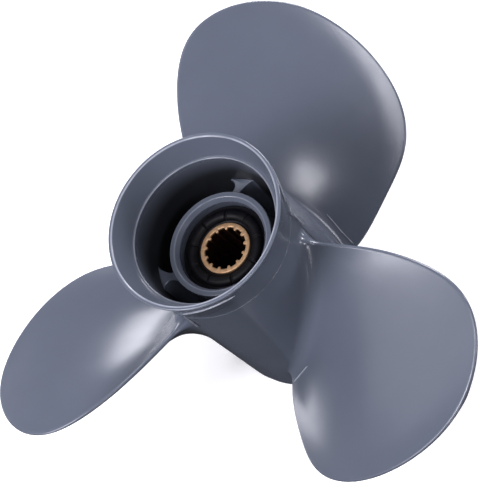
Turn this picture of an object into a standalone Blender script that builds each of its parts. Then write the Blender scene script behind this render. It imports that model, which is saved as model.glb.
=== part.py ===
"""Outboard motor propeller: a cast barrel with an exhaust passage, three blades and a splined centre.

The shaft axis is Z. The flared mouth of the barrel faces up (aft), and the front end of the barrel
lies in the plane Z = 0. Every radius is measured from the shaft axis. Lengths are in metres.
"""

import math

import bmesh
import bpy
import numpy as np

# Clearance between pieces that touch
GAP = 0.0003

# Barrel and flared mouth: the barrel and its bore both narrow a little towards the front
HUB_LENGTH = 0.1340
BARREL_RADIUS = 0.0393
BARREL_FRONT_RADIUS = 0.0377
PASSAGE_RADIUS = 0.0365
PASSAGE_FRONT_RADIUS = 0.0338
SPIGOT_RADIUS = 0.0368
SPIGOT_LENGTH = 0.0065
MOUTH_LENGTH = 0.0237
MOUTH_RADIUS = 0.0447
RIM_INNER_RADIUS = 0.0423
STEP_DEPTH = 0.0119
EDGE_RADIUS = 0.0008

# Inner tube
TUBE_RADIUS = 0.0267
TUBE_BORE_RADIUS = 0.0224
TUBE_FACE_DEPTH = 0.0293
TUBE_FRONT = 0.0040
TUBE_CHAMFER_WIDTH = 0.0017
TUBE_CHAMFER_DEPTH = 0.0023

# Ribs between the inner tube and the barrel: (distance from the axis, sideways) along a rib's two
# sides, from the inner tube to the barrel. The rib leans, so its fillets are of different sizes.
RIB_COUNT = 3
FIRST_RIB_ANGLE = math.radians(90)
RIB_FRONT = 0.0060
RIB_DEPTH = 0.0357
RIB_LEFT_SIDE = ((0.0263, 0.0060), (0.0272, 0.0047), (0.0284, 0.0036), (0.0296, 0.0027),
                 (0.0308, 0.0021), (0.0321, 0.0020), (0.0336, 0.0025), (0.0349, 0.0035),
                 (0.0357, 0.0049))
RIB_RIGHT_SIDE = ((0.0267, -0.0040), (0.0274, -0.0026), (0.0284, -0.0019), (0.0295, -0.0018),
                  (0.0305, -0.0022), (0.0317, -0.0032), (0.0333, -0.0049), (0.0348, -0.0067),
                  (0.0353, -0.0078))

# Rubber bushing and splined sleeve
SLEEVE_RADIUS = 0.0130
SLEEVE_DEPTH = 0.0351
SLEEVE_FRONT = 0.0120
SPLINE_COUNT = 13
SPLINE_GROOVE_RADIUS = 0.0107
SPLINE_TOOTH_RADIUS = 0.0095
FIRST_GROOVE_ANGLE = math.radians(85.3)
RUBBER_DEPTH = 0.0362
RUBBER_FRONT = 0.0260
BEAD_RADIUS = 0.0170
BEAD_WIDTH = 0.0052
BEAD_HEIGHT = 0.0026

# Blades: a right-hand helix of constant pitch on sections that lie on cylinders. Rake, half angle
# and skew are polynomials, the first in the distance from the barrel, the others in the reach from
# root 0 to tip 1.
BLADE_COUNT = 3
FIRST_BLADE_ANGLE = math.radians(87.7)
TIP_RADIUS = 0.1413
PITCH = 0.3293
RAKE = (HUB_LENGTH - 0.0756, 0.2986, -2.279, 11.42)
HALF_ANGLE = (0.7207, -0.1107, -0.9882, 3.9265, -4.5503, 1.6027)
SKEW_ANGLE = (0.0, -0.6134, 3.6606, -9.4318, 10.8631, -4.3695)
ROOT_THICKNESS = 0.0115
TIP_THICKNESS = 0.0036
EDGE_THICKNESS = 0.0024
THICKNESS_POWER = 1.6
NOSE_LENGTH = 0.0016
LEADING_FILLET = 0.0060
TRAILING_FILLET = 0.0105
LEADING_NOSE_SHARE = 0.20
TRAILING_NOSE_SHARE = 0.45
FOOT_FADE = 0.030

# Fineness of the faceted surfaces
TURNED_STEPS = 66
TUBE_STEPS = 54
BLADE_ROWS = 13
BLADE_COLUMNS = 22
FILLET_ROWS = 4
FOOT_STRIPS = 4


def clear_scene():
    for old in list(bpy.data.objects):
        bpy.data.objects.remove(old, do_unlink=True)


def make_material(name, colour, roughness, metallic):
    material = bpy.data.materials.new(name)
    material.use_nodes = True
    shader = material.node_tree.nodes["Principled BSDF"]
    shader.inputs["Base Color"].default_value = (*colour, 1.0)
    shader.inputs["Roughness"].default_value = roughness
    shader.inputs["Metallic"].default_value = metallic
    material.diffuse_color = (*colour, 1.0)
    return material


def add_object(name, bm, material):
    bm.normal_update()
    bmesh.ops.recalc_face_normals(bm, faces=bm.faces)
    if bm.calc_volume(signed=True) < 0:
        bmesh.ops.reverse_faces(bm, faces=bm.faces)
    mesh = bpy.data.meshes.new(name)
    bm.to_mesh(mesh)
    bm.free()
    mesh.shade_smooth()
    mesh.set_sharp_from_angle(angle=math.radians(35))
    mesh.materials.append(material)
    piece = bpy.data.objects.new(name, mesh)
    bpy.context.scene.collection.objects.link(piece)
    return piece


def arc(centre_r, centre_z, radius_r, radius_z, start, end, count):
    """Points (radius, height) along an elliptical arc between two angles in degrees."""
    angles = np.radians(np.linspace(start, end, count))
    return [(centre_r + radius_r * math.cos(a), centre_z + radius_z * math.sin(a)) for a in angles]


def turned_ring(name, profile, steps, material):
    """A closed outline of (radius, height) points, turned once about the shaft axis."""
    bm = bmesh.new()
    verts = [bm.verts.new((r, 0.0, z)) for r, z in profile]
    edges = [bm.edges.new((verts[i - 1], verts[i])) for i in range(len(verts))]
    bmesh.ops.spin(bm, geom=verts + edges, cent=(0, 0, 0), axis=(0, 0, 1), angle=math.tau,
                   steps=steps, use_merge=True)
    return add_object(name, bm, material)


def barrel_radius(height):
    """Outside radius of the barrel, which narrows from the mouth's foot to the front end."""
    share = (HUB_LENGTH - MOUTH_LENGTH - height) / (HUB_LENGTH - MOUTH_LENGTH - SPIGOT_LENGTH)
    share = min(max(share, 0.0), 1.0)
    return BARREL_RADIUS + (BARREL_FRONT_RADIUS - BARREL_RADIUS) * share


def passage_radius(height):
    """Inside radius of the barrel, which narrows from the mouth's step to the front end."""
    share = 1.0 - min(max(height / (HUB_LENGTH - STEP_DEPTH), 0.0), 1.0)
    return PASSAGE_RADIUS + (PASSAGE_FRONT_RADIUS - PASSAGE_RADIUS) * share


def make_barrel(paint):
    """The tube that the blades stand on, with a short stepped spigot at its front end."""
    top = HUB_LENGTH - MOUTH_LENGTH - GAP
    e = EDGE_RADIUS
    profile = [(passage_radius(top), top), (BARREL_RADIUS, top)]
    profile += arc(BARREL_FRONT_RADIUS - e, SPIGOT_LENGTH + e, e, e, 0, -90, 3)
    profile += [(SPIGOT_RADIUS, SPIGOT_LENGTH), (SPIGOT_RADIUS, e / 2), (SPIGOT_RADIUS - e / 2, 0.0)]
    profile += [(PASSAGE_FRONT_RADIUS, 0.0)]
    return turned_ring("barrel", profile, TURNED_STEPS, paint)


def make_flared_mouth(paint):
    """The bell at the aft end: it flares outside and inside, and ends in a narrow rounded rim."""
    bottom = HUB_LENGTH - MOUTH_LENGTH
    e = EDGE_RADIUS
    flare = MOUTH_RADIUS - BARREL_RADIUS
    outside = []
    for share in np.linspace(0.0, 1.0, 6):
        outside.append((BARREL_RADIUS + flare * share ** 1.7, bottom + (MOUTH_LENGTH - e) * share))
    step = HUB_LENGTH - STEP_DEPTH
    cone_slope = (RIM_INNER_RADIUS - PASSAGE_RADIUS) / STEP_DEPTH
    profile = [(passage_radius(bottom), bottom)] + outside
    profile += [(MOUTH_RADIUS - e, HUB_LENGTH), (RIM_INNER_RADIUS + e / 2, HUB_LENGTH)]
    profile += [(RIM_INNER_RADIUS - cone_slope * e / 2, HUB_LENGTH - e / 2)]
    profile += [(PASSAGE_RADIUS + cone_slope * e, step + e), (PASSAGE_RADIUS, step - e)]
    return turned_ring("flared_mouth", profile, TURNED_STEPS, paint)


def make_inner_tube(paint):
    """The tube that carries the bushing, with a chamfered mouth."""
    face = HUB_LENGTH - TUBE_FACE_DEPTH
    e = EDGE_RADIUS
    profile = [
        (TUBE_RADIUS, TUBE_FRONT + e),
        (TUBE_RADIUS - e, TUBE_FRONT),
        (TUBE_BORE_RADIUS, TUBE_FRONT),
        (TUBE_BORE_RADIUS, face - TUBE_CHAMFER_DEPTH),
        (TUBE_BORE_RADIUS + TUBE_CHAMFER_WIDTH, face),
        (TUBE_RADIUS - e, face),
        (TUBE_RADIUS, face - e),
    ]
    return turned_ring("inner_tube", profile, TUBE_STEPS, paint)


def on_circle(radius, sideways):
    """The point of a circle that lies at a given sideways distance from the X axis."""
    return math.sqrt(radius ** 2 - sideways ** 2), sideways


def rib_side(points, height):
    """One side of a rib, drawn in towards the inner tube where the barrel's bore is narrower."""
    inner = TUBE_RADIUS + GAP
    outer = passage_radius(height) - GAP
    room = (outer - inner) / (passage_radius(HUB_LENGTH - RIB_DEPTH) - GAP - inner)
    middle = [(inner + (x - inner) * room, y) for x, y in points[1:-1]]
    return [on_circle(inner, points[0][1]), *middle, on_circle(outer, points[-1][1])]


def rib_outline(height):
    """Outline of a rib at one height, whose two ends follow the inner tube and the barrel's bore."""
    left = rib_side(RIB_LEFT_SIDE, height)
    right = rib_side(RIB_RIGHT_SIDE, height)
    outer = math.hypot(*left[-1])
    inner = math.hypot(*left[0])
    outer_end = np.linspace(left[-1][1], right[-1][1], 6)[1:-1]
    inner_end = np.linspace(right[0][1], left[0][1], 5)[1:-1]
    outline = left + [on_circle(outer, y) for y in outer_end]
    return outline + right[::-1] + [on_circle(inner, y) for y in inner_end]


def wall_between(bm, low, high):
    """Side faces between two rings with the same number of points."""
    for i in range(len(low)):
        bm.faces.new((low[i - 1], low[i], high[i], high[i - 1]))


def make_rib(number, paint):
    """A web between inner tube and barrel, which ends below the inner tube's aft face."""
    bm = bmesh.new()
    low, high = [
        [bm.verts.new((x, y, height)) for x, y in rib_outline(height)]
        for height in (RIB_FRONT, HUB_LENGTH - RIB_DEPTH)
    ]
    wall_between(bm, low, high)
    ends = [bm.faces.new(low), bm.faces.new(high)]
    bmesh.ops.triangulate(bm, faces=ends)
    rib = add_object("rib_%d" % number, bm, paint)
    rib.rotation_euler.z = FIRST_RIB_ANGLE + (number - 1) * math.tau / RIB_COUNT
    return rib


def polynomial(coefficients, x):
    return sum(c * x ** power for power, c in enumerate(coefficients))


def blade_offsets(reach, across, taper):
    """How far the aft and the front face stand off the helix: even edges, and round at the very edge."""
    full = ROOT_THICKNESS + (TIP_THICKNESS - ROOT_THICKNESS) * reach ** 0.8
    thick = EDGE_THICKNESS + (full - EDGE_THICKNESS) * (1 - across ** 2) ** THICKNESS_POWER
    to_edge = 1 - math.sqrt(reach ** 2 + (across * taper) ** 2)
    distance = to_edge * (TIP_RADIUS - BARREL_RADIUS)
    nose = 1 - min(distance / NOSE_LENGTH, 1.0)
    round_off = math.sqrt(max(1 - nose ** 2, 0.0))
    return EDGE_THICKNESS / 2 * round_off, (thick - EDGE_THICKNESS / 2) * round_off


def blade_section(reaches):
    """Closed loop of (radius, arc length, height) round the blade, one reach for each place across.

    The loop runs along the aft face from leading to trailing edge and back along the front face.
    """
    aft, front = [], []
    for share, reach in zip(np.linspace(-1.0, 1.0, len(reaches)), reaches):
        across = math.sin(share * math.pi / 2)
        taper = math.sqrt(max(1 - reach ** 2, 0.0))
        radius = BARREL_RADIUS + (TIP_RADIUS - BARREL_RADIUS) * reach
        angle = polynomial(SKEW_ANGLE, reach) + across * taper * polynomial(HALF_ANGLE, reach)
        height = polynomial(RAKE, radius - BARREL_RADIUS) + PITCH * angle / math.tau
        slope = math.atan2(PITCH, math.tau * radius)
        normal = np.array([0.0, -math.sin(slope), math.cos(slope)])
        on_helix = np.array([radius, radius * angle, height])
        aft_offset, front_offset = blade_offsets(reach, across, taper)
        aft.append(on_helix + aft_offset * normal)
        front.append(on_helix - front_offset * normal)
    return np.array(aft + front[-2:0:-1])


def grow_section(section, amounts, columns):
    """Moves a section outward for the root fillet, less at its two noses than on its faces."""
    ahead = np.roll(section, -1, axis=0) - np.roll(section, 1, axis=0)
    outward = np.stack([np.zeros(len(section)), -ahead[:, 2], ahead[:, 1]], 1)
    outward /= np.linalg.norm(outward, axis=1)[:, None]
    turn = np.arange(len(section)) / columns * math.pi
    nose = LEADING_NOSE_SHARE + (TRAILING_NOSE_SHARE - LEADING_NOSE_SHARE) * (1 - np.cos(turn)) / 2
    share = nose + (1 - nose) * np.abs(np.sin(turn)) ** 0.5
    return section + outward * (amounts * share)[:, None]


def wrap(section):
    """Wraps a section round its cylinders, which near the foot follow the barrel's taper."""
    points = []
    for radius, arc_length, height in section:
        fade = max(0.0, 1.0 - (radius - BARREL_RADIUS) / FOOT_FADE)
        reach = radius - fade * (BARREL_RADIUS - barrel_radius(height))
        angle = arc_length / radius
        points.append((reach * math.cos(angle), reach * math.sin(angle), height))
    return points


def blade_rings(columns):
    """The blade's cross sections, from the foot of its fillet to near the tip."""
    rings = []
    depth = TIP_RADIUS - BARREL_RADIUS
    across = np.sin(np.linspace(-math.pi / 2, math.pi / 2, columns + 1))
    fillet = LEADING_FILLET + (TRAILING_FILLET - LEADING_FILLET) * (1 + across) / 2
    round_fillet = np.concatenate([fillet, fillet[-2:0:-1]])
    for turn in np.linspace(0, math.pi / 2, FILLET_ROWS + 1)[:-1]:
        section = blade_section((GAP + fillet * (1 - math.cos(turn))) / depth)
        rings.append(grow_section(section, round_fillet * (1 - math.sin(turn)), columns))
    first = np.arcsin((GAP + fillet) / depth)
    for share in np.linspace(0, 1, BLADE_ROWS + 1)[:-1]:
        rings.append(blade_section(np.sin(first + (math.pi / 2 - first) * share)))
    return rings


def foot_rows(ring, columns):
    """Points between the two faces of the foot, so that it follows the barrel's round surface."""
    aft = ring[1:columns]
    front = ring[:columns:-1]
    return [wrap(aft + (front - aft) * share) for share in np.linspace(0, 1, FOOT_STRIPS + 1)[1:-1]]


def make_blade(number, paint):
    """One blade with its root fillet, standing just clear of the barrel."""
    columns = BLADE_COLUMNS
    rings = blade_rings(columns)
    bm = bmesh.new()
    loops = [[bm.verts.new(p) for p in wrap(ring)] for ring in rings]
    for low, high in zip(loops, loops[1:]):
        wall_between(bm, low, high)
    tip = bm.verts.new(wrap(blade_section(np.ones(columns + 1))[:1])[0])
    for i in range(len(loops[-1])):
        bm.faces.new((loops[-1][i - 1], loops[-1][i], tip))
    foot = loops[0]
    aft = foot[1:columns]
    front = foot[:columns:-1]
    rows = [aft] + [[bm.verts.new(p) for p in row] for row in foot_rows(rings[0], columns)] + [front]
    for row, beside in zip(rows, rows[1:]):
        for i in range(len(row) - 1):
            bm.faces.new((row[i], row[i + 1], beside[i + 1], beside[i]))
        bm.faces.new((foot[0], row[0], beside[0]))
        bm.faces.new((foot[columns], row[-1], beside[-1]))
    bmesh.ops.triangulate(bm, faces=bm.faces)
    blade = add_object("blade_%d" % number, bm, paint)
    blade.rotation_euler.z = FIRST_BLADE_ANGLE + (number - 1) * math.tau / BLADE_COUNT
    return blade


def make_rubber_bushing(rubber):
    """The rubber ring between inner tube and sleeve, with a raised round bead on its aft face."""
    face = HUB_LENGTH - RUBBER_DEPTH
    inner = SLEEVE_RADIUS + GAP
    outer = TUBE_BORE_RADIUS - GAP
    e = EDGE_RADIUS
    profile = [(inner, RUBBER_FRONT + e), (inner + e, RUBBER_FRONT), (outer - e, RUBBER_FRONT)]
    profile += [(outer, RUBBER_FRONT + e), (outer, face - e), (outer - e, face)]
    profile += arc(BEAD_RADIUS, face, BEAD_WIDTH / 2, BEAD_HEIGHT, 0, 180, 7)
    profile += [(inner, face - e)]
    return turned_ring("rubber_bushing", list(reversed(profile)), TUBE_STEPS, rubber)


def spline_outline():
    """The toothed bore: a flat groove bottom and a flat tooth tip for each spline."""
    points = []
    step = math.tau / SPLINE_COUNT
    for k in range(SPLINE_COUNT):
        for share, radius in ((-0.30, SPLINE_GROOVE_RADIUS), (0.0, SPLINE_GROOVE_RADIUS),
                              (0.30, SPLINE_GROOVE_RADIUS), (0.42, SPLINE_TOOTH_RADIUS),
                              (0.58, SPLINE_TOOTH_RADIUS)):
            points.append((FIRST_GROOVE_ANGLE + (k + share) * step, radius))
    return points


def make_spline_sleeve(bronze):
    """The splined sleeve that slides onto the propeller shaft."""
    low = SLEEVE_FRONT
    high = HUB_LENGTH - SLEEVE_DEPTH
    e = EDGE_RADIUS / 2
    outline = spline_outline()
    levels = [("bore", low), ("wall", low, -e), ("wall", low + e, 0.0),
              ("wall", high - e, 0.0), ("wall", high, -e), ("bore", high)]
    bm = bmesh.new()
    loops = []
    for level in levels:
        loop = []
        for angle, radius in outline:
            r = radius if level[0] == "bore" else SLEEVE_RADIUS + level[2]
            loop.append(bm.verts.new((r * math.cos(angle), r * math.sin(angle), level[1])))
        loops.append(loop)
    for low_loop, high_loop in zip(loops, loops[1:] + loops[:1]):
        wall_between(bm, low_loop, high_loop)
    return add_object("spline_sleeve", bm, bronze)


def main():
    clear_scene()
    paint = make_material("slate_enamel", (0.135, 0.155, 0.190), 0.32, 0.0)
    rubber = make_material("black_rubber", (0.012, 0.012, 0.013), 0.55, 0.0)
    bronze = make_material("sleeve_bronze", (0.58, 0.38, 0.20), 0.45, 1.0)
    make_barrel(paint)
    make_flared_mouth(paint)
    make_inner_tube(paint)
    for number in range(1, RIB_COUNT + 1):
        make_rib(number, paint)
    for number in range(1, BLADE_COUNT + 1):
        make_blade(number, paint)
    make_rubber_bushing(rubber)
    make_spline_sleeve(bronze)


main()
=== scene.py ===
"""Finished surfaces of an outboard motor propeller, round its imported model.

The shaft axis is Z, the flared mouth faces up, and the barrel's front end stands on the floor at
Z = 0. Every radius is measured from the shaft axis. Lengths are in metres.
"""

import math

import bmesh
import bpy
import numpy as np
from mathutils import Matrix, Vector


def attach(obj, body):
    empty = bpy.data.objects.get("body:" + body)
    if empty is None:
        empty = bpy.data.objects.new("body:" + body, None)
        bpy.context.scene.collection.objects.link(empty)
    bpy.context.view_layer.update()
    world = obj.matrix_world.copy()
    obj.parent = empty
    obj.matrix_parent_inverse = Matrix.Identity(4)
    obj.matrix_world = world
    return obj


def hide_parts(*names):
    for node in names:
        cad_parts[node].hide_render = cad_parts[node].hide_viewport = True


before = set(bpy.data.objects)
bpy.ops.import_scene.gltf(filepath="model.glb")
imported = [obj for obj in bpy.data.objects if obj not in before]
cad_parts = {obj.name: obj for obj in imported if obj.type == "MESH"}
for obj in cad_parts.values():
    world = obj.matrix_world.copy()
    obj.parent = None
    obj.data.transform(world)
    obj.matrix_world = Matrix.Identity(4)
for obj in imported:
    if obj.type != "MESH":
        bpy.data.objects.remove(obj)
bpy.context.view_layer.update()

# Barrel and flared mouth
HUB_LENGTH = 0.1340
BARREL_RADIUS = 0.0393
BARREL_FRONT_RADIUS = 0.0377
PASSAGE_RADIUS = 0.0365
PASSAGE_FRONT_RADIUS = 0.0338
SPIGOT_RADIUS = 0.0368
SPIGOT_LENGTH = 0.0065
MOUTH_LENGTH = 0.0237
MOUTH_RADIUS = 0.0447
RIM_INNER_RADIUS = 0.0423
STEP_DEPTH = 0.0119
SHOULDER_WIDTH = 0.0011
FLARE_POWER = 1.7

# Fine step inward where the flare starts, which fades out over a share of the flare's length
FLARE_STEP = 0.00018
FLARE_STEP_RISE = 0.0002
FLARE_STEP_FADE = 0.2

# Roundings of the casting's edges
SPIGOT_ROUNDING = 0.0005
SPIGOT_FOOT_ROUNDING = 0.0003
BARREL_ROUNDING = 0.0007
FLARE_STEP_ROUNDING = 0.00008
RIM_ROUNDING = 0.0007
CONE_FOOT_ROUNDING = 0.0002
PASSAGE_ROUNDING = 0.0003
TUBE_ROUNDING = 0.0006
TUBE_BORE_ROUNDING = 0.0004
RIB_ROUNDING = 0.0006

# Mould panels on the barrel: one beside each blade's trailing root, raised along its side and its
# aft ledge, and faded out away from them. The ledge is a line of (degrees from the side, height).
# The last rise lies between two depths below the ledge. A panel lifts only the points that lie
# outside the barrel's surface, or this skin's depth inside it.
PANEL_ANGLES = np.radians((-101.5, 18.5, 138.5))
PANEL_HEIGHT = 0.0011
PANEL_SIDE_SHARE = 0.30
PANEL_SIDE_WIDTH = 0.0005
PANEL_LEDGE_WIDTH = 0.0006
PANEL_RISE = (0.014, 0.002)
PANEL_SWEEP = (math.radians(36), math.radians(50))
PANEL_FOOT = (0.040, 0.060)
LEDGE_LINE = ((0, 0.1140), (15, 0.1240), (25, 0.1280), (40, 0.1300), (50, 0.1285))
PANEL_SKIN = 0.0006

# Flash that the mould left: fine ridges along the ledges, along their corners in (degrees from the
# panel's side, height), and on the leading roots in (radius, degrees from the blade, height). Those
# on a panel stand on a share of its height.
CORNER_LINE = ((1.5, 0.0960), (2.0, 0.1050), (2.5, 0.1135))
ROOT_LINE = ((0.0445, -42, 0.0245), (0.0445, -34, 0.0310), (0.0465, -24, 0.0405))
LEDGE_FLASH_RADIUS = 0.00045
ROOT_FLASH_RADIUS = 0.00035
FLASH_STAND_SHARE = 0.7
FLASH_TAPER = 8
FLASH_TIP_SHARE = 0.05

# Inner tube
TUBE_RADIUS = 0.0267
TUBE_BORE_RADIUS = 0.0224
TUBE_FACE_DEPTH = 0.0293
TUBE_FRONT = 0.0040
TUBE_CHAMFER_WIDTH = 0.0017
TUBE_CHAMFER_DEPTH = 0.0023

# Ribs: (distance from the axis, sideways) along a rib's two sides, and how far sideways each side
# meets the inner tube and the barrel. The ends of a rib lie just inside both walls.
RIB_COUNT = 3
FIRST_RIB_ANGLE = math.radians(90)
RIB_FRONT = 0.0060
RIB_DEPTH = 0.0357
RIB_OVERLAP = 0.0002
RIB_LEFT_SIDE = ((0.0272, 0.0047), (0.0284, 0.0036), (0.0296, 0.0027), (0.0308, 0.0021),
                 (0.0321, 0.0020), (0.0336, 0.0025), (0.0349, 0.0035))
RIB_LEFT_ENDS = (0.0066, 0.0054)
RIB_RIGHT_SIDE = ((0.0274, -0.0026), (0.0284, -0.0019), (0.0295, -0.0018), (0.0305, -0.0022),
                  (0.0317, -0.0032), (0.0333, -0.0049), (0.0348, -0.0067))
RIB_RIGHT_ENDS = (-0.0046, -0.0084)

# Splined sleeve: a groove's half width and the end of a tooth's flank, as shares of one tooth's step
SLEEVE_RADIUS = 0.0130
SLEEVE_DEPTH = 0.0351
SLEEVE_FRONT = 0.0120
SLEEVE_CHAMFER = 0.0004
SPLINE_COUNT = 13
SPLINE_GROOVE_RADIUS = 0.0107
SPLINE_TOOTH_RADIUS = 0.0095
FIRST_GROOVE_ANGLE = math.radians(85.3)
GROOVE_SHARE = 0.29
FLANK_END_SHARE = 0.42

# Rubber bushing
RUBBER_DEPTH = 0.0362
RUBBER_FRONT = 0.0260
RUBBER_OVERLAP = 0.0001
RUBBER_FRONT_ROUNDING = 0.0006
RUBBER_WALL_ROUNDING = 0.0008
BEAD_FOOT_ROUNDING = 0.0004
BEAD_RADIUS = 0.0170
BEAD_WIDTH = 0.0052
BEAD_HEIGHT = 0.0026
NOTCH_ANGLES = np.radians((20, 61, 100, 140, 178, 216, 254, 295, 338))
NOTCH_WIDTH = 0.0009
NOTCH_DEPTH = 0.0008

# Blades: a helix of constant pitch on sections that lie on cylinders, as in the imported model. Rake,
# half angle and skew are polynomials, the first in the distance from the barrel, the others in the
# reach from root 0 to tip 1. The tips end 0.3 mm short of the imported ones, so that the finer mesh
# stays inside their box.
BLADE_COUNT = 3
FIRST_BLADE_ANGLE = math.radians(87.7)
TIP_RADIUS = 0.1410
PITCH = 0.3293
RAKE = (HUB_LENGTH - 0.0756, 0.2986, -2.279, 11.42)
HALF_ANGLE = (0.7207, -0.1107, -0.9882, 3.9265, -4.5503, 1.6027)
SKEW_ANGLE = (0.0, -0.6134, 3.6606, -9.4318, 10.8631, -4.3695)
ROOT_THICKNESS = 0.0115
TIP_THICKNESS = 0.0036
EDGE_THICKNESS = 0.0024
THINNING_POWER = 0.8
THICKNESS_POWER = 1.6
NOSE_LENGTH = 0.0016
LEADING_FILLET = 0.0060
TRAILING_FILLET = 0.0105
LEADING_NOSE_SHARE = 0.20
TRAILING_NOSE_SHARE = 0.45
FOOT_FADE = 0.030
CURL_WIDTH = 0.018
LEADING_CURL = 0.0009
TRAILING_CURL = 0.0004

# Skirt round a blade's fillet, which dips from just under the barrel's surface to the foot
SKIRT_WIDTH = 0.0008
SKIRT_SINK = 0.00004
FOOT_SINK = 0.0006

# Fineness of the surfaces. The barrel's rows keep clear of the roundings at its two ends, and the
# flare's are closest where the panels' ledges cross it.
ARC_POINTS = 5
ARC_LEAD = 0.12
HUB_COLUMNS = 288
PANEL_SIDE_COLUMNS = 13
BARREL_ROWS = 40
BARREL_FRONT_GAP = 0.003
BARREL_AFT_GAP = 0.002
FLARE_SHARES = (*np.linspace(0.03, 0.28, 9), *np.linspace(0.29, 0.92, 72), 0.95)
CONE_STEPS = 7
PASSAGE_STEPS = 25
LEDGE_STEPS = 8
TUBE_COLUMNS = 192
TUBE_STEPS = 13
RIB_SIDE_STEPS = 5
RIB_OUTER_STEPS = 23
RIB_INNER_STEPS = 15
RIB_STEPS = 7
RIB_ROUNDING_ROWS = 6
BLADE_ROWS = 84
BLADE_COLUMNS = 120
FILLET_ROWS = 16
FOOT_STRIPS = 10
FLASH_SIDES = 10
FLASH_STEPS = 6
LEDGE_FLASH_STEPS = 3
BUSHING_COLUMNS = 720
BEAD_ROWS = 21
COLUMNS_PER_SPLINE = 48
SLEEVE_STEPS = 7
SLEEVE_BORE_ROWS = 10

# Colours of the materials: each stop is (place in the noise, colour)
ENAMEL_TONES = ((0.25, (0.100, 0.114, 0.147)), (0.75, (0.107, 0.122, 0.157)))
# Painted shade for the exhaust passages, darker than the enamel
PASSAGE_SHADE_TONES = ((0.30, (0.010, 0.011, 0.014)), (0.70, (0.016, 0.017, 0.021)))
# Painted highlight for the turned edges
EDGE_HIGHLIGHT_TONES = ((0.30, (0.40, 0.42, 0.47)), (0.70, (0.48, 0.50, 0.56)))
# Pale tones for the flash ridges: a painted highlight
FLASH_HIGHLIGHT_TONES = ((0.30, (0.24, 0.25, 0.29)), (0.70, (0.38, 0.40, 0.45)))
RUBBER_TONES = ((0.35, (0.002, 0.002, 0.003)), (0.75, (0.005, 0.005, 0.007)))
BRONZE_TONES = ((0.30, (0.38, 0.22, 0.11)), (0.50, (0.52, 0.32, 0.17)), (0.72, (0.62, 0.41, 0.24)))
# Painted shade for the sleeve's bore
BORE_SHADE_TONES = ((0.35, (0.010, 0.004, 0.002)), (0.75, (0.070, 0.020, 0.008)))
FLOOR_TONES = ((0.30, (0.88, 0.88, 0.885)), (0.70, (0.90, 0.90, 0.905)))

# Roughness of the materials at the two ends of a noise, and of the floor
ENAMEL_ROUGHNESS = (0.21, 0.25)
FLASH_ROUGHNESS = (0.24, 0.34)
RUBBER_ROUGHNESS = (0.45, 0.60)
BRONZE_ROUGHNESS = (0.60, 0.45)
FLOOR_ROUGHNESS = 0.9
NOISE_ENDS = (0.3, 0.7)

# Painted shade in the exhaust passages, darker with depth. It starts at one depth beside the tube
# and at another on the cone, blended between two radii, and is full after a further depth. It ends
# just past the passage's wall.
PASSAGE_SHADE_START_RADII = (0.0290, 0.0340)
PASSAGE_SHADE_TUBE_DEPTH = TUBE_FACE_DEPTH + 0.0015
PASSAGE_SHADE_CONE_DEPTH = STEP_DEPTH - 0.0010
PASSAGE_SHADE_FULL_DEPTH = 0.016
PASSAGE_SHADE_FRONT_REACH = 0.0012
PASSAGE_SHADE_STEP_REACH = 0.0005
PASSAGE_SHADE_BLUR = 0.0003
PASSAGE_SHADE_ROUGHNESS = 0.25

# Turned edges with a painted highlight: their radius and height, and how much
EDGE_HIGHLIGHT_WIDTH = 0.0006
EDGE_HIGHLIGHT_LEAST = 0.55
HIGHLIT_EDGES = (
    (RIM_INNER_RADIUS + 0.0003, HUB_LENGTH, 0.62),
    (MOUTH_RADIUS - 0.0002, HUB_LENGTH - 0.0002, 0.12),
    (PASSAGE_RADIUS + 0.0002, HUB_LENGTH - STEP_DEPTH, 0.40),
    (TUBE_BORE_RADIUS + TUBE_CHAMFER_WIDTH, HUB_LENGTH - TUBE_FACE_DEPTH, 0.22),
    (TUBE_RADIUS - 0.0002, HUB_LENGTH - TUBE_FACE_DEPTH, 0.12),
)

# Depths below the sleeve's face between which the bronze turns from its own colour to painted shade
BORE_SHADE_DEPTHS = (0.0004, 0.0016)

# Camera: its axes in the model's frame, and the place of its lens
CAMERA_PLACE = Vector((0.42751, -0.2839, 0.85514))
CAMERA_RIGHT = Vector((0.88711, 0.18949, -0.42086))
CAMERA_UP = Vector((-0.02457, 0.92993, 0.36692))
CAMERA_BACK = Vector((0.4609, -0.31516, 0.82961))
CAMERA_LENS = 142.87

# Lights: azimuth and elevation in degrees, width, and what each sheds on the hub
# in W/m2. Two of them shine up through the table top, which only the camera sees.
LIGHT_DISTANCE = 1.6
LIGHT_TARGET = Vector((0, 0, 0.08))
LIGHT_TINT = (0.99, 0.98, 1.06)
ROOM_COLOUR = (0.96, 0.98, 1.0, 1.0)
ROOM_LIGHT = 0.03
BACKDROP_LIGHT = 0.90
TABLE_GLOW = 0.40
FLOOR_HALF_WIDTH = 4.0
SOFTBOXES = {
    "key": (-125, 55, 0.50, 2.0),
    "key_low": (-127, 34, 0.50, 1.1),
    "top": (-60, 80, 0.40, 0.8),
    "side": (90, 25, 0.50, 2.7),
    "side_low": (50, 5, 0.30, 1.0),
    "front": (-15, 35, 0.40, 0.7),
    "front_low": (10, 5, 0.40, 0.5),
    "front_left": (-60, 15, 0.40, 0.4),
    "back": (140, 35, 0.50, 0.4),
    "back_left": (-155, 30, 0.80, 0.3),
    "table_right": (135, -15, 0.50, 0.4),
    "table_back": (170, -5, 0.50, 0.4),
}


# Materials

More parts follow.
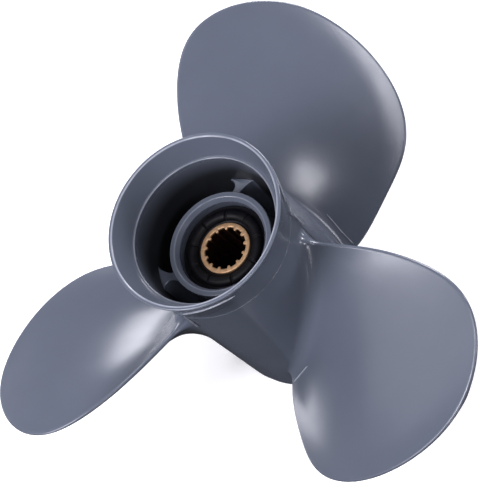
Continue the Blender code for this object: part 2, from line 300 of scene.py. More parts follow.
class Paintbox:
    """A new material and short calls that add nodes to it."""

    def __init__(self, name):
        self.material = bpy.data.materials.new(name)
        self.material.use_nodes = True
        self.tree = self.material.node_tree
        self.shader = self.tree.nodes["Principled BSDF"]
        self.place = self.tree.nodes.new("ShaderNodeTexCoord").outputs["Object"]

    def link(self, source, target):
        self.tree.links.new(source, target)

    def noise(self, scale, detail, roughness, distortion=0.0):
        node = self.tree.nodes.new("ShaderNodeTexNoise")
        node.inputs["Scale"].default_value = scale
        node.inputs["Detail"].default_value = detail
        node.inputs["Roughness"].default_value = roughness
        node.inputs["Distortion"].default_value = distortion
        self.link(self.place, node.inputs["Vector"])
        return node.outputs["Fac"]

    def spread(self, value, low, high, to_low, to_high):
        """Maps low to high onto to_low to to_high, and holds the value at both ends."""
        node = self.tree.nodes.new("ShaderNodeMapRange")
        node.inputs["From Min"].default_value = low
        node.inputs["From Max"].default_value = high
        node.inputs["To Min"].default_value = to_low
        node.inputs["To Max"].default_value = to_high
        self.link(value, node.inputs["Value"])
        return node.outputs["Result"]

    def colours(self, value, stops):
        node = self.tree.nodes.new("ShaderNodeValToRGB")
        ramp = node.color_ramp
        while len(ramp.elements) < len(stops):
            ramp.elements.new(0.5)
        for element, (position, colour) in zip(ramp.elements, stops):
            element.position = position
            element.color = (*colour, 1.0)
        self.link(value, node.inputs["Fac"])
        return node.outputs["Color"]

    def mix(self, share, low, high):
        node = self.tree.nodes.new("ShaderNodeMixRGB")
        self.link(share, node.inputs["Fac"])
        self.link(low, node.inputs["Color1"])
        self.link(high, node.inputs["Color2"])
        return node.outputs["Color"]

    def combine(self, operation, first, second):
        node = self.tree.nodes.new("ShaderNodeMath")
        node.operation = operation
        self.link(first, node.inputs[0])
        self.link(second, node.inputs[1])
        return node.outputs["Value"]

    def vector_step(self, operation, vector, fixed=None):
        """A vector maths node on a vector, with a fixed second vector where the operation has one."""
        node = self.tree.nodes.new("ShaderNodeVectorMath")
        node.operation = operation
        self.link(vector, node.inputs[0])
        if fixed is not None:
            node.inputs[1].default_value = fixed
        return node.outputs

    def radius(self):
        """The distance from the shaft axis."""
        flat = self.vector_step("MULTIPLY", self.place, (1.0, 1.0, 0.0))
        return self.vector_step("LENGTH", flat["Vector"])["Value"]

    def height(self):
        split = self.tree.nodes.new("ShaderNodeSeparateXYZ")
        self.link(self.place, split.inputs["Vector"])
        return split.outputs["Z"]

    def bump(self, height, strength, distance, normal=None):
        node = self.tree.nodes.new("ShaderNodeBump")
        node.inputs["Strength"].default_value = strength
        node.inputs["Distance"].default_value = distance
        self.link(height, node.inputs["Height"])
        if normal is not None:
            self.link(normal, node.inputs["Normal"])
        return node.outputs["Normal"]


def edge_highlight_share(box, radius, height):
    """How strong the painted highlight is along the turned edges of the mouth and the tube."""
    here = box.tree.nodes.new("ShaderNodeCombineXYZ")
    box.link(radius, here.inputs["X"])
    box.link(height, here.inputs["Z"])
    total = None
    for edge_radius, edge_height, strength in HIGHLIT_EDGES:
        away = box.vector_step("DISTANCE", here.outputs["Vector"], (edge_radius, 0.0, edge_height))
        share = box.spread(away["Value"], EDGE_HIGHLIGHT_WIDTH / 3, EDGE_HIGHLIGHT_WIDTH, strength, 0.0)
        total = share if total is None else box.combine("MAXIMUM", total, share)
    patches = box.noise(scale=90.0, detail=3.0, roughness=0.6)
    return box.combine("MULTIPLY", total, box.spread(patches, 0.3, 0.6, EDGE_HIGHLIGHT_LEAST, 1.0))


def passage_shade_share(box, radius, height):
    """How dark the painted shade in the exhaust passages is: more with depth, from the cone's foot and
    the tube's face.
    """
    start = box.spread(radius, *PASSAGE_SHADE_START_RADII,
                       HUB_LENGTH - PASSAGE_SHADE_TUBE_DEPTH, HUB_LENGTH - PASSAGE_SHADE_CONE_DEPTH)
    depth = box.combine("SUBTRACT", start, height)
    wall = box.spread(height, 0.0, HUB_LENGTH - STEP_DEPTH,
                      PASSAGE_FRONT_RADIUS + PASSAGE_SHADE_FRONT_REACH, PASSAGE_RADIUS + PASSAGE_SHADE_STEP_REACH)
    past_wall = box.combine("SUBTRACT", radius, wall)
    within = box.spread(past_wall, -PASSAGE_SHADE_BLUR, PASSAGE_SHADE_BLUR, 1.0, 0.0)
    return box.combine("MULTIPLY", box.spread(depth, 0.0, PASSAGE_SHADE_FULL_DEPTH, 0.0, 1.0), within)


def make_enamel(name, with_painted_light):
    """Semi-gloss slate enamel with a fine orange peel and a faint unevenness in tone and gloss.

    If asked, it has painted shade deep in the exhaust passages and a painted highlight on turned
    edges.
    """
    box = Paintbox(name)
    tone = box.noise(scale=38.0, detail=4.0, roughness=0.6)
    colour = box.colours(tone, ENAMEL_TONES)
    uneven = box.noise(scale=120.0, detail=3.0, roughness=0.6)
    gloss = box.spread(uneven, *NOISE_ENDS, *ENAMEL_ROUGHNESS)
    if with_painted_light:
        radius = box.radius()
        height = box.height()
        # Painted shade, darker with depth in the exhaust passages
        passage_shade = passage_shade_share(box, radius, height)
        colour = box.mix(passage_shade, colour, box.colours(tone, PASSAGE_SHADE_TONES))
        gloss = box.combine("ADD", gloss, box.spread(passage_shade, 0.0, 1.0, 0.0, PASSAGE_SHADE_ROUGHNESS))
        # Painted highlight along the turned edges
        edge_highlight = edge_highlight_share(box, radius, height)
        colour = box.mix(edge_highlight, colour, box.colours(tone, EDGE_HIGHLIGHT_TONES))
    box.link(colour, box.shader.inputs["Base Color"])
    box.link(gloss, box.shader.inputs["Roughness"])
    box.shader.inputs["Specular IOR Level"].default_value = 0.6
    coarse = box.noise(scale=620.0, detail=2.0, roughness=0.5)
    fine = box.noise(scale=2400.0, detail=1.0, roughness=0.5)
    peel = box.bump(coarse, strength=0.10, distance=0.0002)
    peel = box.bump(fine, strength=0.08, distance=0.00006, normal=peel)
    box.link(peel, box.shader.inputs["Normal"])
    return box.material


def make_flash_highlight_enamel():
    """The same enamel painted pale along a ridge, as a painted highlight."""
    box = Paintbox("slate_enamel_painted_highlight")
    tone = box.noise(scale=300.0, detail=4.0, roughness=0.6)
    # Pale colour of the ridges: a painted highlight
    box.link(box.colours(tone, FLASH_HIGHLIGHT_TONES), box.shader.inputs["Base Color"])
    box.link(box.spread(tone, *NOISE_ENDS, *FLASH_ROUGHNESS), box.shader.inputs["Roughness"])
    grain = box.noise(scale=1500.0, detail=2.0, roughness=0.5)
    box.link(box.bump(grain, strength=0.10, distance=0.0001), box.shader.inputs["Normal"])
    return box.material


def make_rubber():
    """Near-black moulded rubber with a fine grain and a greyer bloom in patches."""
    box = Paintbox("black_rubber_finish")
    bloom = box.noise(scale=260.0, detail=5.0, roughness=0.65)
    box.link(box.colours(bloom, RUBBER_TONES), box.shader.inputs["Base Color"])
    box.link(box.spread(bloom, *NOISE_ENDS, *RUBBER_ROUGHNESS), box.shader.inputs["Roughness"])
    box.shader.inputs["Specular IOR Level"].default_value = 0.17
    grain = box.noise(scale=1800.0, detail=3.0, roughness=0.6)
    box.link(box.bump(grain, strength=0.25, distance=0.0001), box.shader.inputs["Normal"])
    return box.material


def make_bronze():
    """Machined bronze, matt and mottled, with painted shade that darkens its toothed bore."""
    box = Paintbox("sleeve_bronze_finish")
    mottle = box.noise(scale=420.0, detail=5.0, roughness=0.65, distortion=0.4)
    face = HUB_LENGTH - SLEEVE_DEPTH
    # Painted shade below the sleeve's face, inside the bore
    unshaded = box.spread(box.height(), face - BORE_SHADE_DEPTHS[1], face - BORE_SHADE_DEPTHS[0], 0.0, 1.0)
    colour = box.mix(unshaded, box.colours(mottle, BORE_SHADE_TONES), box.colours(mottle, BRONZE_TONES))
    box.link(colour, box.shader.inputs["Base Color"])
    box.link(box.spread(mottle, *NOISE_ENDS, *BRONZE_ROUGHNESS), box.shader.inputs["Roughness"])
    box.shader.inputs["Metallic"].default_value = 0.6
    grain = box.noise(scale=900.0, detail=4.0, roughness=0.6)
    box.link(box.bump(grain, strength=0.20, distance=0.0001), box.shader.inputs["Normal"])
    return box.material


def make_floor_paint():
    """Pale matt paint with a faint glow, as on a lit table."""
    box = Paintbox("pale_floor")
    tone = box.noise(scale=3.0, detail=2.0, roughness=0.5)
    box.link(box.colours(tone, FLOOR_TONES), box.shader.inputs["Base Color"])
    box.shader.inputs["Roughness"].default_value = FLOOR_ROUGHNESS
    box.shader.inputs["Emission Color"].default_value = (1.0, 1.0, 1.0, 1.0)
    box.shader.inputs["Emission Strength"].default_value = TABLE_GLOW
    return box.material


# Meshes

def add_piece(name, points, faces, material, slot, *replaced):
    """A smooth piece from points and faces, facing outward, that stands for the named nodes."""
    mesh = bpy.data.meshes.new(name)
    mesh.from_pydata([tuple(p) for p in points], [], faces)
    bm = bmesh.new()
    bm.from_mesh(mesh)
    bmesh.ops.recalc_face_normals(bm, faces=bm.faces)
    if bm.calc_volume(signed=True) < 0:
        bmesh.ops.reverse_faces(bm, faces=bm.faces)
    bm.to_mesh(mesh)
    bm.free()
    mesh.shade_smooth()
    mesh.materials.append(material)
    piece = bpy.data.objects.new(name, mesh)
    bpy.context.scene.collection.objects.link(piece)
    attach(piece, "root")
    if replaced:
        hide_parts(*replaced)


def loop_faces(rows, columns, closed):
    """Quads of a grid whose columns run round a loop, and whose rows too where it is closed."""
    faces = []
    for i in range(rows if closed else rows - 1):
        low = i * columns
        high = (i + 1) % rows * columns
        for j in range(columns):
            k = (j + 1) % columns
            faces.append((low + j, low + k, high + k, high + j))
    return faces


def add_loop(name, rows, material, slot, *replaced):
    """A piece from rows of points, where the rows and the points in each run round a loop."""
    rows = np.asarray(rows)
    faces = loop_faces(len(rows), rows.shape[1], True)
    add_piece(name, rows.reshape(-1, 3), faces, material, slot, *replaced)


def add_capped(name, rings, material, slot, *replaced):
    """A piece from rings of points, with a cap on the first ring and on the last."""
    rings = np.asarray(rings)
    columns = rings.shape[1]
    last = (len(rings) - 1) * columns
    faces = loop_faces(len(rings), columns, False)
    faces += [tuple(range(columns)), tuple(range(last, last + columns))]
    add_piece(name, rings.reshape(-1, 3), faces, material, slot, *replaced)


def rounded(corners):
    """Closed outline with an arc of the given radius at each corner (radius, height, rounding)."""
    outline = []
    for i, (r, z, rounding) in enumerate(corners):
        here = np.array((r, z))
        if rounding == 0:
            outline.append(here)
            continue
        back = np.array(corners[i - 1][:2]) - here
        ahead = np.array(corners[(i + 1) % len(corners)][:2]) - here
        back /= np.linalg.norm(back)
        ahead /= np.linalg.norm(ahead)
        half = math.acos(max(min(float(back @ ahead), 1.0), -1.0)) / 2
        reach = rounding / math.tan(half)
        lead = reach + rounding * ARC_LEAD
        middle = (back + ahead) / np.linalg.norm(back + ahead)
        centre = here + middle * rounding / math.sin(half)
        first = here + back * reach - centre
        last = here + ahead * reach - centre
        turn = math.pi - 2 * half
        outline.append(here + back * lead)
        for share in np.linspace(0, 1, ARC_POINTS):
            towards_first = math.sin((1 - share) * turn) / math.sin(turn)
            towards_last = math.sin(share * turn) / math.sin(turn)
            outline.append(centre + first * towards_first + last * towards_last)
        outline.append(here + ahead * lead)
    return np.array(outline)


def between(low, high, steps):
    """The places that divide a stretch into even steps, without its ends."""
    return np.linspace(low, high, steps + 1)[1:-1]


def even_angles(steps):
    return np.arange(steps) * math.tau / steps


def turned(outline, angles):
    """Points of an outline turned about the shaft axis: one row for each point of the outline."""
    r = outline[:, 0][:, None]
    z = np.repeat(outline[:, 1][:, None], len(angles), 1)
    return np.stack([r * np.cos(angles), r * np.sin(angles), z], 2)


def spin(points, angle):
    """Points turned about the shaft axis by an angle."""
    turn = np.array([[math.cos(angle), -math.sin(angle), 0],
                     [math.sin(angle), math.cos(angle), 0],
                     [0, 0, 1]])
    return points @ turn.T


def smooth_step(value, low, high):
    share = np.clip((value - low) / (high - low), 0, 1)
    return share ** 2 * (3 - 2 * share)


def smooth_line(points, per_span):
    """A smooth line (Catmull-Rom) through points."""
    p = np.array(points)
    p = np.vstack([2 * p[0] - p[1], p, 2 * p[-1] - p[-2]])
    line = []
    for i in range(1, len(p) - 2):
        for t in np.linspace(0, 1, per_span + 1)[:-1]:
            line.append(0.5 * (2 * p[i] + (p[i + 1] - p[i - 1]) * t
                               + (2 * p[i - 1] - 5 * p[i] + 4 * p[i + 1] - p[i + 2]) * t ** 2
                               + (3 * p[i] - p[i - 1] - 3 * p[i + 1] + p[i + 2]) * t ** 3))
    line.append(p[-2])
    return np.array(line)


# Barrel and tube

def barrel_radius(height):
    bottom = HUB_LENGTH - MOUTH_LENGTH
    share = np.clip((bottom - height) / (bottom - SPIGOT_LENGTH), 0, 1)
    return BARREL_RADIUS + (BARREL_FRONT_RADIUS - BARREL_RADIUS) * share


def flare_radius(height):
    share = np.maximum((height - HUB_LENGTH + MOUTH_LENGTH) / MOUTH_LENGTH, 0)
    return BARREL_RADIUS + (MOUTH_RADIUS - BARREL_RADIUS) * share ** FLARE_POWER


def passage_radius(height):
    share = 1 - np.clip(height / (HUB_LENGTH - STEP_DEPTH), 0, 1)
    return PASSAGE_RADIUS + (PASSAGE_FRONT_RADIUS - PASSAGE_RADIUS) * share


def hub_outline():
    """Section of the hub's wall: spigot, barrel, flare, rim, the cone inside and the bore."""
    bottom = HUB_LENGTH - MOUTH_LENGTH
    step = HUB_LENGTH - STEP_DEPTH
    cone_foot = PASSAGE_RADIUS + SHOULDER_WIDTH
    corners = [(PASSAGE_FRONT_RADIUS, 0.0, SPIGOT_ROUNDING)]
    corners += [(SPIGOT_RADIUS, 0.0, SPIGOT_ROUNDING)]
    corners += [(SPIGOT_RADIUS, SPIGOT_LENGTH, SPIGOT_FOOT_ROUNDING)]
    corners += [(BARREL_FRONT_RADIUS, SPIGOT_LENGTH, BARREL_ROUNDING)]
    first = SPIGOT_LENGTH + BARREL_FRONT_GAP
    for z in np.linspace(first, bottom - BARREL_AFT_GAP, BARREL_ROWS):
        corners.append((barrel_radius(z), z, 0))
    corners += [(BARREL_RADIUS, bottom - FLARE_STEP_RISE / 2, FLARE_STEP_ROUNDING)]
    corners += [(BARREL_RADIUS - FLARE_STEP, bottom + FLARE_STEP_RISE / 2, FLARE_STEP_ROUNDING)]
    for share in FLARE_SHARES:
        z = bottom + MOUTH_LENGTH * share
        inward = FLARE_STEP * max(1 - share / FLARE_STEP_FADE, 0)
        corners.append((flare_radius(z) - inward, z, 0))
    corners += [(MOUTH_RADIUS, HUB_LENGTH, RIM_ROUNDING)]
    corners += [(RIM_INNER_RADIUS, HUB_LENGTH, RIM_ROUNDING)]
    for share in between(0, 1, CONE_STEPS):
        corners.append((RIM_INNER_RADIUS + (cone_foot - RIM_INNER_RADIUS) * share,
                        HUB_LENGTH - STEP_DEPTH * share, 0))
    corners += [(cone_foot, step, CONE_FOOT_ROUNDING), (PASSAGE_RADIUS, step, PASSAGE_ROUNDING)]
    for z in between(step, 0, PASSAGE_STEPS):
        corners.append((passage_radius(z), z, 0))
    return rounded(corners)


def panel_height(angle, height):
    """How far the mould panels stand off the barrel at an angle and a height."""
    ledge_degrees, ledge_heights = smooth_line(LEDGE_LINE, LEDGE_STEPS).T
    total = np.zeros(np.broadcast(angle, height).shape)
    for start in PANEL_ANGLES:
        beyond = (angle - start + math.pi) % math.tau - math.pi
        side = smooth_step(beyond * BARREL_RADIUS, -PANEL_SIDE_WIDTH / 2, PANEL_SIDE_WIDTH / 2)
        fade = 1 - smooth_step(beyond, *PANEL_SWEEP)
        ledge = np.interp(np.degrees(beyond), ledge_degrees, ledge_heights)
        top = 1 - smooth_step(height, ledge - PANEL_LEDGE_WIDTH / 2, ledge + PANEL_LEDGE_WIDTH / 2)
        rise = smooth_step(height, ledge - PANEL_RISE[0], ledge - PANEL_RISE[1])
        foot = smooth_step(height, *PANEL_FOOT)
        total += PANEL_HEIGHT * side * fade * top * foot * (PANEL_SIDE_SHARE
                                                            + (1 - PANEL_SIDE_SHARE) * rise)
    return total


def hub_angles():
    """Even steps round the hub, with close ones across the side of each mould panel."""
    across = np.linspace(-1, 1, PANEL_SIDE_COLUMNS) * PANEL_SIDE_WIDTH / BARREL_RADIUS
    close = [start + across for start in PANEL_ANGLES]
    return np.unique(np.round(np.concatenate([even_angles(HUB_COLUMNS), *close]) % math.tau, 6))


def make_hub(enamel):
    """The hub's wall, with the mould panels on its outside."""
    outline = hub_outline()
    angles = hub_angles()
    radii, heights = outline.T
    outside = radii > barrel_radius(heights) - PANEL_SKIN
    outside &= np.arange(len(outline)) < np.argmax(radii)
    shift = panel_height(angles[None, :], heights[:, None]) * outside[:, None]
    points = turned(outline, angles)
    points[:, :, 0] += shift * np.cos(angles)
    points[:, :, 1] += shift * np.sin(angles)
    add_loop("hub_casting", points, enamel, "slate_enamel", "barrel", "flared_mouth")


def make_tube(enamel):
    """The inner tube with its chamfered mouth."""
    face = HUB_LENGTH - TUBE_FACE_DEPTH
    corners = [(TUBE_BORE_RADIUS, TUBE_FRONT, TUBE_BORE_ROUNDING)]
    corners += [(TUBE_RADIUS, TUBE_FRONT, TUBE_ROUNDING)]
    corners += [(TUBE_RADIUS, z, 0) for z in between(TUBE_FRONT, face, TUBE_STEPS)]
    corners += [(TUBE_RADIUS, face, TUBE_ROUNDING)]
    corners += [(TUBE_BORE_RADIUS + TUBE_CHAMFER_WIDTH, face, TUBE_BORE_ROUNDING)]
    corners += [(TUBE_BORE_RADIUS, face - TUBE_CHAMFER_DEPTH, TUBE_BORE_ROUNDING)]
    corners += [(TUBE_BORE_RADIUS, z, 0) for z in between(face, TUBE_FRONT, TUBE_STEPS)]
    points = turned(rounded(corners), even_angles(TUBE_COLUMNS))
    add_loop("tube_casting", points, enamel, "slate_enamel", "inner_tube")


# Ribs

def on_circle(radius, sideways):
    return math.sqrt(radius ** 2 - sideways ** 2), sideways


def rib_walls(height):
    """The radii just inside the tube's wall and the barrel's wall, where a rib ends."""
    return TUBE_RADIUS - RIB_OVERLAP, passage_radius(height) + RIB_OVERLAP


def rib_side(points, ends, height):
    """One smooth side of a rib, drawn in towards the tube where the barrel's bore is narrower."""
    inner, outer = rib_walls(height)
    aft_outer = rib_walls(HUB_LENGTH - RIB_DEPTH)[1]
    room = (outer - inner) / (aft_outer - inner)
    middle = [(inner + (x - inner) * room, y) for x, y in points]
    line = [on_circle(inner, ends[0]), *middle, on_circle(outer, ends[1])]
    return smooth_line(line, RIB_SIDE_STEPS)


def rib_outline(height, inset):
    """A rib's outline at one height, with its sides moved in by the inset."""
    inner, outer = rib_walls(height)
    left = rib_side(RIB_LEFT_SIDE, RIB_LEFT_ENDS, height) - np.array((0, inset))
    right = rib_side(RIB_RIGHT_SIDE, RIB_RIGHT_ENDS, height) + np.array((0, inset))
    outer_end = [on_circle(outer, y) for y in between(left[-1][1], right[-1][1], RIB_OUTER_STEPS)]
    inner_end = [on_circle(inner, y) for y in between(right[0][1], left[0][1], RIB_INNER_STEPS)]
    return np.vstack([left, outer_end, right[::-1], inner_end])


def make_rib(number, enamel):
    """A leaning web with a rounded edge all along its aft face."""
    shoulder = HUB_LENGTH - RIB_DEPTH - RIB_ROUNDING
    levels = [(RIB_FRONT, 0.0)]
    levels += [(z, 0.0) for z in between(RIB_FRONT, shoulder, RIB_STEPS)]
    for turn in np.linspace(0, math.pi / 2, RIB_ROUNDING_ROWS):
        levels.append((shoulder + RIB_ROUNDING * math.sin(turn), RIB_ROUNDING * (1 - math.cos(turn))))
    angle = FIRST_RIB_ANGLE + (number - 1) * math.tau / RIB_COUNT
    rings = []
    for height, inset in levels:
        outline = rib_outline(height, inset)
        rings.append(spin(np.hstack([outline, np.full((len(outline), 1), height)]), angle))
    add_capped("rib_casting_%d" % number, rings, enamel, "slate_enamel", "rib_%d" % number)


# Blades

def polynomial(coefficients, x):
    return sum(c * x ** power for power, c in enumerate(coefficients))


def blade_section(reaches):
    """Closed loop of (radius, arc length, height) round the blade, one reach for each place across."""
    reach = np.asarray(reaches)
    across = np.sin(np.linspace(-1.0, 1.0, len(reach)) * math.pi / 2)
    taper = np.sqrt(np.maximum(1 - np.clip(reach, 0, 1) ** 2, 0.0))
    radius = BARREL_RADIUS + (TIP_RADIUS - BARREL_RADIUS) * reach
    angle = polynomial(SKEW_ANGLE, reach) + across * taper * polynomial(HALF_ANGLE, reach)
    height = polynomial(RAKE, radius - BARREL_RADIUS) + PITCH * angle / math.tau
    slope = np.arctan2(PITCH, math.tau * radius)
    normal = np.stack([np.zeros_like(slope), -np.sin(slope), np.cos(slope)], 1)
    on_helix = np.stack([radius, radius * angle, height], 1)

    outward = np.sqrt(reach ** 2 + (across * taper) ** 2)
    to_edge = (1 - outward) * (TIP_RADIUS - BARREL_RADIUS)
    towards_leading = (1 - across * taper / np.maximum(outward, 1e-6)) / 2
    curl = TRAILING_CURL + (LEADING_CURL - TRAILING_CURL) * towards_leading
    on_helix += normal * (curl * np.clip(1 - to_edge / CURL_WIDTH, 0, 1) ** 2)[:, None]

    thinning = np.maximum(reach, 0.0) ** THINNING_POWER
    full = ROOT_THICKNESS + (TIP_THICKNESS - ROOT_THICKNESS) * thinning
    thick = EDGE_THICKNESS + (full - EDGE_THICKNESS) * (1 - across ** 2) ** THICKNESS_POWER
    nose = 1 - np.minimum(to_edge / NOSE_LENGTH, 1.0)
    round_off = np.sqrt(np.maximum(1 - nose ** 2, 0.0))
    aft = on_helix + normal * (EDGE_THICKNESS / 2 * round_off)[:, None]
    front = on_helix - normal * ((thick - EDGE_THICKNESS / 2) * round_off)[:, None]
    return np.vstack([aft, front[-2:0:-1]])


def grow_section(section, amounts):
    """Moves a section outward for the root fillet, less at its two noses than on its faces."""
    ahead = np.roll(section, -1, axis=0) - np.roll(section, 1, axis=0)
    outward = np.stack([np.zeros(len(section)), -ahead[:, 2], ahead[:, 1]], 1)
    outward /= np.linalg.norm(outward, axis=1)[:, None]
    turn = np.arange(len(section)) / BLADE_COLUMNS * math.pi
    nose = LEADING_NOSE_SHARE + (TRAILING_NOSE_SHARE - LEADING_NOSE_SHARE) * (1 - np.cos(turn)) / 2
    share = nose + (1 - nose) * np.sqrt(np.abs(np.sin(turn)))
    return section + outward * (amounts * share)[:, None]


def wrap(section):
    """Wraps a section round its cylinders, which near the foot follow the barrel's taper."""
    radius, arc_length, height = section.T
    fade = np.maximum(0.0, 1.0 - np.maximum(radius - BARREL_RADIUS, 0.0) / FOOT_FADE)
    reach = radius - fade * (BARREL_RADIUS - barrel_radius(height))
    angle = arc_length / radius
    return np.stack([reach * np.cos(angle), reach * np.sin(angle), height], 1)


def blade_rings():
    """The blade's cross sections, from a skirt just under the barrel's surface to near the tip."""
    depth = TIP_RADIUS - BARREL_RADIUS
    across = np.sin(np.linspace(-math.pi / 2, math.pi / 2, BLADE_COLUMNS + 1))
    fillet = LEADING_FILLET + (TRAILING_FILLET - LEADING_FILLET) * (1 + across) / 2
    round_fillet = np.concatenate([fillet, fillet[-2:0:-1]])
    foot = blade_section(np.zeros(BLADE_COLUMNS + 1))
    rings = []
    for sink in (FOOT_SINK, SKIRT_SINK):
        ring = grow_section(foot, round_fillet + SKIRT_WIDTH)
        ring[:, 0] -= sink
        rings.append(ring)
    for turn in np.linspace(0, math.pi / 2, FILLET_ROWS + 1)[:-1]:
        section = blade_section(fillet * (1 - math.cos(turn)) / depth)
        rings.append(grow_section(section, round_fillet * (1 - math.sin(turn))))
    first = np.arcsin(fillet / depth)
    for share in np.linspace(0, 1, BLADE_ROWS + 1)[:-1]:
        rings.append(blade_section(np.sin(first + (math.pi / 2 - first) * share)))
    return rings


def foot_faces(first_strip):
    """Faces that close the blade's foot: strips from its aft side to its front side.

    The first ring's points are numbered from 0, with the leading nose at 0 and the trailing nose
    at BLADE_COLUMNS, and those of the strips between them from first_strip.
    """
    columns = BLADE_COLUMNS
    rows = [list(range(1, columns))]
    for k in range(FOOT_STRIPS - 1):
        start = first_strip + k * (columns - 1)
        rows.append(list(range(start, start + columns - 1)))
    rows.append(list(range(2 * columns - 1, columns, -1)))
    faces = []
    for row, beside in zip(rows, rows[1:]):
        for i in range(columns - 2):
            faces.append((row[i], row[i + 1], beside[i + 1], beside[i]))
        faces.append((0, row[0], beside[0]))
        faces.append((columns, row[-1], beside[-1]))
    return faces


def make_blade(number, enamel):
    """One blade with its root fillet, whose foot dips just under the barrel's surface."""
    rings = blade_rings()
    loops = [wrap(ring) for ring in rings]
    tip = wrap(blade_section(np.ones(BLADE_COLUMNS + 1))[:1])
    aft = rings[0][1:BLADE_COLUMNS]
    front = rings[0][:BLADE_COLUMNS:-1]
    strips = [wrap(aft + (front - aft) * share) for share in between(0, 1, FOOT_STRIPS)]
    count = 2 * BLADE_COLUMNS
    tip_index = len(loops) * count
    last = tip_index - count
    faces = loop_faces(len(loops), count, False)
    faces += [(last + j, last + (j + 1) % count, tip_index) for j in range(count)]
    faces += foot_faces(tip_index + 1)
    angle = FIRST_BLADE_ANGLE + (number - 1) * math.tau / BLADE_COUNT
    points = spin(np.vstack(loops + [tip] + strips), angle)
    add_piece("blade_casting_%d" % number, points, faces, enamel, "slate_enamel", "blade_%d" % number)


# Flash

def make_flash(name, points, radius, material):
    """A fine round ridge along a smooth line through (radius, angle, height) points."""
    path = smooth_line([(reach * math.cos(angle), reach * math.sin(angle), height)
                        for reach, angle, height in points], FLASH_STEPS)
    ahead = np.gradient(path, axis=0)
    ahead /= np.linalg.norm(ahead, axis=1)[:, None]
    across = np.cross(ahead, path * np.array((1, 1, 0)))
    across /= np.linalg.norm(across, axis=1)[:, None]
    above = np.cross(across, ahead)
    share = np.linspace(0, 1, len(path))
    taper = np.sqrt(np.clip(FLASH_TAPER * share * (1 - share) + FLASH_TIP_SHARE, 0, 1))
    size = (radius * taper)[:, None]
    sides = [path + (across * math.cos(turn) + above * math.sin(turn)) * size
             for turn in even_angles(FLASH_SIDES)]
    add_capped(name, np.stack(sides, 1), material, "slate_enamel")


def on_panel(line, start):
    """A line of (degrees from the panel's side, height) as points near the panel's surface."""
    stand = PANEL_HEIGHT * FLASH_STAND_SHARE
    return [(flare_radius(height) + stand, start + math.radians(degrees), height)
            for degrees, height in line]


def make_all_flash(material):
    """The flash on each leading root's fillet, and along each panel's ledge and corner."""
    ledge = smooth_line(LEDGE_LINE, LEDGE_FLASH_STEPS)[1:]
    for number, start in enumerate(PANEL_ANGLES, 1):
        turn = FIRST_BLADE_ANGLE + (number - 1) * math.tau / BLADE_COUNT
        root = [(reach, turn + math.radians(degrees), height) for reach, degrees, height in ROOT_LINE]
        make_flash("root_flash_%d" % number, root, ROOT_FLASH_RADIUS, material)
        make_flash("ledge_flash_%d" % number, on_panel(ledge, start), LEDGE_FLASH_RADIUS, material)
        make_flash("corner_flash_%d" % number, on_panel(CORNER_LINE, start), LEDGE_FLASH_RADIUS,
                   material)


# Bushing and sleeve

def make_bushing(rubber):
    """The rubber ring with a round bead on its aft face, crossed by narrow radial notches."""
    face = HUB_LENGTH - RUBBER_DEPTH
    inner = SLEEVE_RADIUS - RUBBER_OVERLAP
    outer = TUBE_BORE_RADIUS + RUBBER_OVERLAP
    corners = [(inner, RUBBER_FRONT, RUBBER_FRONT_ROUNDING)]
    corners += [(outer, RUBBER_FRONT, RUBBER_FRONT_ROUNDING)]
    corners += [(outer, face, RUBBER_WALL_ROUNDING)]
    for turn in np.radians(np.linspace(0, 180, BEAD_ROWS)):
        corners.append((BEAD_RADIUS + BEAD_WIDTH / 2 * math.cos(turn),
                        face + BEAD_HEIGHT * math.sin(turn), 0))
    corners += [(inner, face, BEAD_FOOT_ROUNDING)]
    outline = rounded(corners)
    angles = even_angles(BUSHING_COLUMNS)
    points = turned(outline, angles)
    away = (angles - NOTCH_ANGLES[:, None] + math.pi) % math.tau - math.pi
    nearest = np.abs(away).min(0) * outline[:, 0][:, None]
    on_bead = np.sqrt(np.clip((outline[:, 1] - face) / BEAD_HEIGHT, 0, 1))[:, None]
    points[:, :, 2] -= NOTCH_DEPTH * on_bead * smooth_step(NOTCH_WIDTH - nearest, 0, NOTCH_WIDTH)
    add_loop("bushing_moulding", points, rubber, "black_rubber", "rubber_bushing")


def spline_radius(angle):
    """Radius of the toothed bore at an angle: broad grooves, narrow teeth and slanted flanks."""
    step = math.tau / SPLINE_COUNT
    away = np.abs(((angle - FIRST_GROOVE_ANGLE) / step + 0.5) % 1.0 - 0.5)
    tooth = smooth_step(away, GROOVE_SHARE, FLANK_END_SHARE)
    return SPLINE_GROOVE_RADIUS + (SPLINE_TOOTH_RADIUS - SPLINE_GROOVE_RADIUS) * tooth


def make_sleeve(bronze):
    """The splined sleeve, with a small softened chamfer at both ends of its bore and outside."""
    low = SLEEVE_FRONT
    high = HUB_LENGTH - SLEEVE_DEPTH
    angles = even_angles(SPLINE_COUNT * COLUMNS_PER_SPLINE)
    bore = spline_radius(angles)
    wall = np.full_like(bore, SLEEVE_RADIUS)
    c = SLEEVE_CHAMFER
    levels = [(bore + c, low), (wall - c, low), (wall, low + c)]
    levels += [(wall, z) for z in between(low, high, SLEEVE_STEPS)]
    levels += [(wall, high - c), (wall - c * 0.3, high - c * 0.3), (wall - c, high)]
    levels += [(bore + c * 1.2, high), (bore + c, high - c * 0.05), (bore + c * 0.3, high - c * 0.35)]
    levels += [(bore, high - c)]
    levels += [(bore, z) for z in np.linspace(high - 2 * c, low + c, SLEEVE_BORE_ROWS)]
    rows = [np.stack([r * np.cos(angles), r * np.sin(angles), np.full_like(r, z)], 1)
            for r, z in levels]
    add_loop("sleeve_bronze_part", rows, bronze, "sleeve_bronze", "spline_sleeve")


# Stage

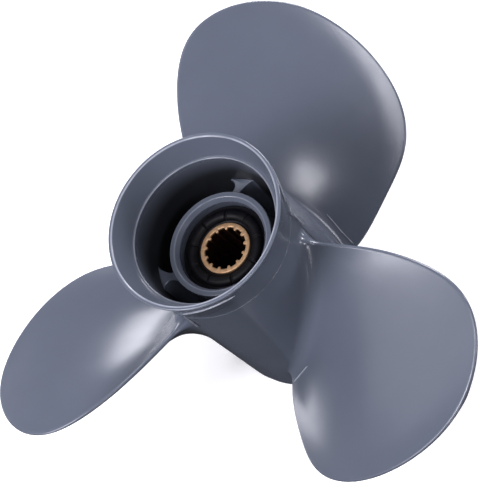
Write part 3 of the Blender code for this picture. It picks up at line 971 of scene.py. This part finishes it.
def make_floor():
    """The table top, which only the camera sees."""
    half = FLOOR_HALF_WIDTH
    mesh = bpy.data.meshes.new("floor")
    mesh.from_pydata([(-half, -half, 0), (half, -half, 0), (half, half, 0), (-half, half, 0)], [],
                     [(0, 1, 2, 3)])
    mesh.materials.append(make_floor_paint())
    floor = bpy.data.objects.new("floor", mesh)
    bpy.context.scene.collection.objects.link(floor)
    floor.visible_glossy = False
    floor.visible_diffuse = False
    floor.visible_shadow = False


def make_softbox(name, azimuth, elevation, size, strength):
    """A soft square light aimed at the hub; strength is what it sheds there, in W/m2."""
    light = bpy.data.lights.new(name, "AREA")
    light.size = size
    light.color = LIGHT_TINT
    light.energy = strength * math.pi * LIGHT_DISTANCE ** 2
    turn = math.radians(azimuth)
    rise = math.radians(elevation)
    way = Vector((math.cos(rise) * math.cos(turn), math.cos(rise) * math.sin(turn), math.sin(rise)))
    lamp = bpy.data.objects.new(name, light)
    lamp.location = LIGHT_TARGET + way * LIGHT_DISTANCE
    lamp.rotation_euler = (-way).to_track_quat("-Z", "Y").to_euler()
    lamp.visible_camera = False
    bpy.context.scene.collection.objects.link(lamp)


def make_lights():
    """The softboxes, and a world that is dim for the object and pale for the camera."""
    for name, values in SOFTBOXES.items():
        make_softbox(name + "_softbox", *values)
    world = bpy.data.worlds.new("studio")
    world.use_nodes = True
    nodes = world.node_tree.nodes
    background = nodes["Background"]
    background.inputs["Color"].default_value = ROOM_COLOUR
    seen = nodes.new("ShaderNodeLightPath").outputs["Is Camera Ray"]
    strength = nodes.new("ShaderNodeMapRange")
    strength.inputs["To Min"].default_value = ROOM_LIGHT
    strength.inputs["To Max"].default_value = BACKDROP_LIGHT
    world.node_tree.links.new(seen, strength.inputs["Value"])
    world.node_tree.links.new(strength.outputs["Result"], background.inputs["Strength"])
    bpy.context.scene.world = world


def make_camera():
    data = bpy.data.cameras.new("camera")
    data.lens = CAMERA_LENS
    camera = bpy.data.objects.new("camera", data)
    axes = Matrix((CAMERA_RIGHT, CAMERA_UP, CAMERA_BACK)).transposed()
    camera.matrix_world = Matrix.Translation(CAMERA_PLACE) @ axes.to_4x4()
    bpy.context.scene.collection.objects.link(camera)
    bpy.context.scene.camera = camera


def main():
    make_camera()
    enamel = make_enamel("slate_enamel_finish", False)
    shaded_highlit_enamel = make_enamel("slate_enamel_with_painted_light", True)
    make_hub(shaded_highlit_enamel)
    make_tube(shaded_highlit_enamel)
    for number in range(1, RIB_COUNT + 1):
        make_rib(number, enamel)
    for number in range(1, BLADE_COUNT + 1):
        make_blade(number, enamel)
    make_all_flash(make_flash_highlight_enamel())
    make_bushing(make_rubber())
    make_sleeve(make_bronze())
    make_floor()
    make_lights()
    bpy.context.scene.view_settings.view_transform = "Standard"


main()
